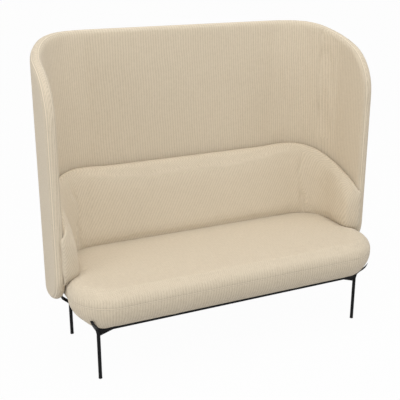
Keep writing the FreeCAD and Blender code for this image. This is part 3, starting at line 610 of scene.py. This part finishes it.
class SETTEE_OT_seat(bpy.types.Operator):
    """Seat pad: one long crowned cushion with a full rounded edge and a seam at its widest line"""
    bl_idname = "settee.seat"
    bl_label = "Seat"

    def freedom(self, points):
        """The seat is held on its timbers and between the wings, and free on its top and front."""
        x, y, z = points.T
        above = smooth_step(0.250, 0.300, z)
        between_wings = smooth_step(WING_FRONT - 0.03, WING_FRONT + 0.02, y)
        beside = smooth_step(0.700, 0.735, np.abs(x)) * between_wings
        behind = smooth_step(0.240, 0.290, y)
        return above * (1.0 - beside) * (1.0 - behind)

    def execute(self, context):
        low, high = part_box("seat_front_timber")
        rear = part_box("seat_rear_timber")[1]
        filler = cube_between((low.x + 0.001, low.y, SEAT_FLOOR),
                              (high.x - 0.001, rear.y, high.z + 0.012))
        piece = joined_copy("seat_upholstery", ["seat_foam"], [filler])
        voxel_remesh(piece, sizes().pad_voxel)
        apply_modifier(piece, "SMOOTH", factor=0.5, iterations=4)
        fill_with_pressure(piece, sizes().seat_swell, self.freedom)
        apply_modifier(piece, "SUBSURF", levels=1, render_levels=1)
        points = points_of(piece)
        normals = normals_of(piece)
        seam = points[:, 2] - SEAT_SEAM
        groove = np.exp(-(seam / 0.0032) ** 2) * 0.0016 * (np.abs(normals[:, 2]) < 0.8)
        points = points - normals * groove[:, None] + normals * SEAT_COVER
        underneath = smooth_step(0.1, -0.7, normals[:, 2])
        from_row = np.minimum(np.abs(points[:, 1] - SAG_FRONT_Y), np.abs(points[:, 1] - SAG_REAR_Y))
        over_leg = np.hypot(np.abs(points[:, 0]) - SAG_X, from_row)
        points[:, 2] -= underneath * (0.0015 + 0.011 * smooth_step(0.075, 0.015, over_leg))
        points[:, 2] = np.maximum(points[:, 2], RAIL_CLEAR)
        set_points(piece, points)
        x, y, z = points.T
        side = np.sign(x)
        turn = np.arctan2(np.maximum(np.abs(x) - SEAT_CORNER_X, 0.0), np.maximum(SEAT_CORNER_Y - y, 1e-9))
        edge = np.where(np.abs(x) < SEAT_CORNER_X, np.abs(x), SEAT_CORNER_X + SEAT_CORNER_RADIUS * turn)
        beside = SEAT_CORNER_X + SEAT_CORNER_RADIUS * math.pi / 2.0 + y - SEAT_CORNER_Y
        edge = np.where((y > SEAT_CORNER_Y) & (np.abs(x) > SEAT_CORNER_X), beside, edge)
        on_top = smooth_step(0.35, 0.8, normals[:, 2])
        across = side * edge * (1.0 - on_top) + x * on_top
        along = z * (1.0 - on_top) - (y - SEAT_FRONT - SEAT_EDGE) * on_top
        # Painted shade on the seat's top round the back pad's foot, fading away from it
        from_pad = PAD_CORNER_RADIUS - np.hypot(np.maximum(np.abs(x) - PAD_CORNER_X, 0.0),
                                                np.maximum(y - PAD_CORNER_Y, 0.0))
        crease = np.exp(-np.maximum(from_pad, 0.0) / 0.028) * smooth_step(-0.16, -0.09, y) * on_top
        flat = np.abs(normals[:, 2]) > 0.8
        write_attributes(piece, across, along, 0.9 * on_top, seam + flat * 1.0, crease)
        finish_piece(piece, woven_fabric("seat_fabric", 0.0, 0.9),
                     ["seat_foam", "seat_upper_cover", "seat_lower_cover"])
        return {"FINISHED"}


class SETTEE_OT_back_pad(bpy.types.Operator):
    """Lower back and arms: one soft U-shaped pad inside the shell"""
    bl_idname = "settee.back_pad"
    bl_label = "Back pad"

    def edge_distance(self, points):
        """How far each point lies inside the pad's side line: under its top and behind its front."""
        y, z = points[:, 1], points[:, 2]
        fall = (PAD_FALL_FROM - y) * PAD_FALL
        softened = np.where(np.abs(fall) < PAD_FALL_BLEND * PAD_FALL,
                            (fall + PAD_FALL_BLEND * PAD_FALL) ** 2 / (4.0 * PAD_FALL_BLEND * PAD_FALL),
                            np.maximum(fall, 0.0))
        below = (PAD_TOP - softened - z) * np.where(fall > 0.0, math.cos(math.atan(PAD_FALL)), 1.0)
        behind = y - PAD_FRONT
        reach = PAD_FRONT_ROUND
        in_corner = (below < reach) & (behind < reach)
        corner = reach - np.hypot(reach - below, reach - behind)
        return np.maximum(np.where(in_corner, corner, np.minimum(below, behind)), 0.0)

    def frontness(self, points):
        """1 along the front edge of an arm, 0 along the top line, and between the two round the corner."""
        y, z = points[:, 1], points[:, 2]
        fall = np.maximum(PAD_FALL_FROM - y, 0.0) * PAD_FALL
        from_front = np.maximum(PAD_FRONT_ROUND - (y - PAD_FRONT), 0.0)
        from_top = np.maximum(PAD_FRONT_ROUND - (PAD_TOP - fall - z), 0.0)
        return from_front ** 2 / np.maximum(from_front ** 2 + from_top ** 2, 1e-9)

    def soften(self, points):
        """Draw the pad's face back to the shell along its top and front, and fill its arms at the seat."""
        depth = along_wall(points)[1] - WALL
        share = np.clip(self.edge_distance(points) / sizes().pad_softness, 0.0, 1.0)
        least = 0.40 + 0.25 * self.frontness(points)
        kept = least + (1.0 - least) * np.sqrt(1.0 - (1.0 - share) ** 2.2)
        low = smooth_step(0.66, 0.44, points[:, 2])
        beside = smooth_step(0.50, 0.62, np.abs(points[:, 0])) * smooth_step(0.17, 0.02, points[:, 1])
        fuller = 1.0 + low * beside * sizes().arm_fullness / ARM_THICKNESS
        wanted = np.where(depth > 0.002, depth * kept * fuller, depth)
        return self.move_in(points, wanted - depth)

    def lap_over_rim(self, points):
        """Let the front of each arm lap over the sitter's half of the shell's rolled rim."""
        x, y = np.abs(points[:, 0]), points[:, 1]
        ahead = smooth_step(-0.055, -0.106, y)
        near = smooth_step(0.045, 0.008, WALL_INNER_X - x)
        front = y - 0.018 * ahead * (0.35 + 0.65 * near)
        round_rim = RIM_X - np.sqrt(np.maximum(RIM_RADIUS ** 2 - (front - RIM_Y) ** 2, 0.003 ** 2))
        moved = points.copy()
        lapped = (ahead > 0.0) * (front < RIM_Y)
        moved[:, 0] += np.sign(points[:, 0]) * (round_rim - WALL_INNER_X) * near * lapped
        moved[:, 1] = front
        return moved

    def weave_across(self, points):
        """Distance along the pad's own face from its middle, round its inner corners."""
        x, y, z = np.abs(points[:, 0]), points[:, 1], points[:, 2]
        face = PAD_FACE_Y + PAD_LEAN * (z - SEAT_EDGE)
        out_x = x - PAD_CORNER_X
        out_y = y - (face - PAD_CORNER_RADIUS)
        angle = np.arctan2(np.maximum(out_x, 0.0), np.maximum(out_y, 1e-9))
        across = np.where(out_x <= 0.0, x, PAD_CORNER_X + PAD_CORNER_RADIUS * angle)
        beside = PAD_CORNER_X + PAD_CORNER_RADIUS * math.pi / 2.0 - out_y
        return np.where((out_y <= 0.0) & (out_x > 0.0), beside, across)

    def move_in(self, points, move):
        """Move points away from the shell's wall by a distance."""
        x, y = points[:, 0], points[:, 1]
        out_x = np.abs(x) - CORNER_X
        out_y = y - CORNER_Y
        reach = np.maximum(np.hypot(np.maximum(out_x, 0.0), np.maximum(out_y, 0.0)), 1e-6)
        toward_x = np.where(out_y <= 0.0, 1.0, np.maximum(out_x, 0.0) / reach) * np.sign(x)
        toward_y = np.where(out_y <= 0.0, 0.0, np.maximum(out_y, 0.0) / reach)
        moved = points.copy()
        moved[:, 0] -= toward_x * move
        moved[:, 1] -= toward_y * move
        return moved

    def freedom(self, points):
        """The pad is held against the shell and on the seat, and free on its face and its top edge."""
        depth = along_wall(points)[1] - WALL
        off_wall = smooth_step(0.003, 0.010, depth)
        off_edge = smooth_step(-0.01, 0.11, self.edge_distance(points))
        off_seat = smooth_step(0.420, 0.500, points[:, 2])
        return off_wall * off_edge * (0.1 + 0.9 * off_seat)

    def execute(self, context):
        nodes = ["pad_back_foam", "pad_left_foam", "pad_right_foam", "pad_back_board", "pad_left_board",
                 "pad_right_board"]
        piece = joined_copy("back_pad_upholstery", nodes)
        voxel_remesh(piece, sizes().pad_voxel)
        set_points(piece, self.soften(points_of(piece)))
        apply_modifier(piece, "SMOOTH", factor=0.5, iterations=6)
        fill_with_pressure(piece, sizes().pad_swell, self.freedom)
        apply_modifier(piece, "SUBSURF", levels=1, render_levels=1)
        points = points_of(piece)
        normals = normals_of(piece)
        underneath = smooth_step(0.475, 0.440, points[:, 2]) * smooth_step(0.2, -0.6, normals[:, 2])
        points[:, 2] -= 0.003 * underneath
        in_corner = smooth_step(0.40, 0.60, np.abs(points[:, 0])) * smooth_step(0.05, 0.20, points[:, 1])
        points[:, 2] += 0.010 * in_corner * smooth_step(0.70, 0.77, points[:, 2])
        depth = along_wall(points)[1] - WALL
        against = smooth_step(0.011, 0.004, depth) * smooth_step(0.44, 0.47, points[:, 2])
        points = self.move_in(points, np.minimum(0.0008 - depth, 0.0) * against)
        points = self.lap_over_rim(points)
        set_points(piece, points)
        depth = along_wall(points)[1]
        forward = smooth_step(0.3, 0.9, -normals[:, 1]) * (np.abs(points[:, 0]) > 0.60)
        side = np.sign(points[:, 0])
        across = side * (self.weave_across(points) + (WALL + ARM_THICKNESS - depth) * forward)
        along = points[:, 2] + depth * smooth_step(0.3, 0.9, normals[:, 2])
        corner = PAD_CORNER_X + PAD_CORNER_RADIUS * math.pi / 4.0
        seam = np.where((depth > WALL + 0.03) & (points[:, 2] < 0.50), np.abs(across) - corner, 1.0)
        # Painted shade along the foot of the back pad, darkest where it meets the seat
        crease = np.exp(-np.maximum(points[:, 2] - 0.436, 0.0) / 0.024)
        write_attributes(piece, across, along, np.zeros_like(across), seam, crease)
        finish_piece(piece, woven_fabric("back_pad_fabric", -32.0, 0.9),
                     nodes[:3] + ["pad_cover"])
        return {"FINISHED"}


class SETTEE_OT_base(bpy.types.Operator):
    """Finishes of the steel base, its glides and its brackets"""
    bl_idname = "settee.base"
    bl_label = "Steel base"

    def execute(self, context):
        finish_nodes("frame_steel", powder_coat())
        finish_nodes("glide_plastic", moulded_plastic())
        return {"FINISHED"}


class SETTEE_OT_hooks(bpy.types.Operator):
    """Hooks and gussets of the legs, with softened edges"""
    bl_idname = "settee.hooks"
    bl_label = "Hooks and gussets"

    def execute(self, context):
        steel = powder_coat()
        for side in ("left", "right"):
            for end in ("front", "rear"):
                leg_low, leg_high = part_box(side + "_" + end + "_leg")
                centre = (leg_low + leg_high) / 2.0
                toward = Vector((math.cos(HORN_ANGLE) * (1.0 if side == "right" else -1.0),
                                 math.sin(HORN_ANGLE) * (1.0 if end == "rear" else -1.0), 0.0))
                leg = side + "_" + end
                self.soften(leg + "_horn", toward.cross(Vector((0.0, 0.0, 1.0))), centre, 2.7, steel)
                self.soften(leg + "_gusset", Vector((0.0, 1.0, 0.0)), centre, 1.25, steel)
        return {"FINISHED"}

    def soften(self, node, sideways, centre, widen, steel):
        """Copy a welded plate, widen it about its middle and round its edges."""
        piece = joined_copy(node + "_forged", [node])
        points = points_of(piece)
        offset = (points - np.array(centre)) @ np.array(sideways)
        rising = smooth_step(0.238, 0.285, points[:, 2]) * (0.006 if node.endswith("horn") else 0.0)
        outward = Vector((0.0, 0.0, 1.0)).cross(sideways)
        set_points(piece, points + np.outer(offset * (widen - 1.0), np.array(sideways))
                   + np.outer(rising, np.array(outward)))
        voxel_remesh(piece, sizes().steel_voxel)
        apply_modifier(piece, "SMOOTH", factor=0.5, iterations=6)
        make_active(piece)
        bpy.ops.object.shade_smooth()
        piece.data.materials.append(steel)
        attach(piece, "root")
        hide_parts(node)


class SETTEE_OT_inside(bpy.types.Operator):
    """Finishes of the timber, plywood, straps, cloth and fasteners inside the upholstery"""
    bl_idname = "settee.inside"
    bl_label = "Inner pieces"

    def execute(self, context):
        finish_nodes("timber", sawn_timber())
        finish_nodes("plywood", plywood())
        finish_nodes("webbing", elastic_webbing())
        finish_nodes("foam", open_foam())
        finish_nodes("dust_cloth", dust_cloth())
        finish_nodes("fastener_steel", zinc_steel())
        return {"FINISHED"}


def finish_nodes(slot, material):
    """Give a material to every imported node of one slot."""
    for row in frame["record"]["subparts"]:
        if row["material_slot"] == slot:
            node = frame["nodes"][row["node"]]
            node.data.materials.clear()
            node.data.materials.append(material)


class SETTEE_OT_stage(bpy.types.Operator):
    """Pale floor, soft lamps, plain world and the camera at the photograph's angle"""
    bl_idname = "settee.stage"
    bl_label = "Stage"

    def execute(self, context):
        self.floor()
        self.world()
        self.lamps()
        self.camera()
        bpy.context.scene.view_settings.view_transform = "Standard"
        return {"FINISHED"}

    def floor(self):
        deselect()
        bpy.ops.mesh.primitive_plane_add(size=70.0, location=(0.0, 12.0, 0.0))
        bpy.ops.object.transform_apply(location=True, rotation=True, scale=True)
        floor = bpy.context.object
        floor.name = "studio_floor"
        graph = Graph("studio_floor")
        patch = graph.noise(graph.place(), 1.5, 2.0)
        base = tuple(colours().floor)
        graph.feed(Base_Color=graph.mix(patch * 0.04, base, tuple(c * 0.9 for c in base)), Roughness=0.9,
                   Specular_IOR_Level=0.1)
        glow = graph.node("ShaderNodeEmission", {}, {"Color": (1.0, 1.0, 1.0), "Strength": 1.0})
        seen = (graph.node("ShaderNodeLightPath", output="Is Camera Ray")
                + graph.node("ShaderNodeLightPath", output="Is Glossy Ray"))
        surface = Value(graph, graph.surface.outputs[0])
        graph.show(graph.node("ShaderNodeMixShader", {}, [seen * 0.97, surface, glow]))
        floor.data.materials.append(graph.owner)

    def world(self):
        graph = Graph("studio", "worlds")
        bpy.context.scene.world = graph.owner
        seen = graph.node("ShaderNodeLightPath", output="Is Camera Ray")
        soft = graph.node("ShaderNodeBackground", {}, {"Color": (1.0, 0.995, 0.985), "Strength": 0.62})
        white = graph.node("ShaderNodeBackground", {}, {"Color": (1.0, 1.0, 1.0), "Strength": 1.0})
        graph.show(graph.node("ShaderNodeMixShader", {}, [seen, soft, white]))

    def lamps(self):
        self.lamp("key_lamp", (-1.6, -3.4, 3.6), 3.0, 36.0)
        self.lamp("fill_lamp", (2.8, -3.0, 2.4), 3.0, 20.0)
        self.lamp("side_lamp", (-4.4, -1.2, 1.5), 2.6, 44.0)
        self.lamp("top_lamp", (0.0, -0.6, 4.2), 3.4, 60.0)

    def lamp(self, name, place, size, power):
        """Square soft lamp aimed at the seat."""
        deselect()
        bpy.ops.object.light_add(type="AREA", location=place)
        lamp = bpy.context.object
        lamp.name = name
        lamp.data.shape = "SQUARE"
        lamp.data.size = size
        lamp.data.energy = power
        aim = Vector((0.0, 0.0, 0.6)) - Vector(place)
        lamp.rotation_euler = aim.to_track_quat("-Z", "Y").to_euler()

    def camera(self):
        deselect()
        bpy.ops.object.camera_add(location=CAMERA_PLACE, rotation=(CAMERA_TILT, 0.0, CAMERA_TURN))
        camera = bpy.context.object
        camera.data.lens = CAMERA_LENS
        camera.data.sensor_width = 36.0
        camera.data.clip_end = 200.0
        bpy.context.scene.camera = camera


OPERATORS = (SETTEE_OT_shell, SETTEE_OT_seat, SETTEE_OT_back_pad, SETTEE_OT_base, SETTEE_OT_hooks,
             SETTEE_OT_inside, SETTEE_OT_stage)


class SETTEE_PT_panel(bpy.types.Panel):
    """Buttons for each piece of the settee, with its sizes and colours"""
    bl_idname = "SETTEE_PT_panel"
    bl_label = "High back settee"
    bl_space_type = "VIEW_3D"
    bl_region_type = "UI"
    bl_category = "Settee"

    def draw(self, context):
        for operator in OPERATORS:
            self.layout.operator(operator.bl_idname)
        for group in (context.scene.settee_sizes, context.scene.settee_colours):
            for name in group.__annotations__:
                self.layout.prop(group, name)


CLASSES = (SetteeSizes, SetteeColours) + OPERATORS + (SETTEE_PT_panel,)


def register():
    for item in CLASSES:
        bpy.utils.register_class(item)
    bpy.types.Scene.settee_sizes = bpy.props.PointerProperty(type=SetteeSizes)
    bpy.types.Scene.settee_colours = bpy.props.PointerProperty(type=SetteeColours)


def unregister():
    del bpy.types.Scene.settee_colours
    del bpy.types.Scene.settee_sizes
    for item in reversed(CLASSES):
        bpy.utils.unregister_class(item)


def main():
    register()
    bpy.ops.settee.shell()
    bpy.ops.settee.seat()
    bpy.ops.settee.back_pad()
    bpy.ops.settee.base()
    bpy.ops.settee.hooks()
    bpy.ops.settee.inside()
    bpy.ops.settee.stage()


if __name__ == "__main__":
    main()
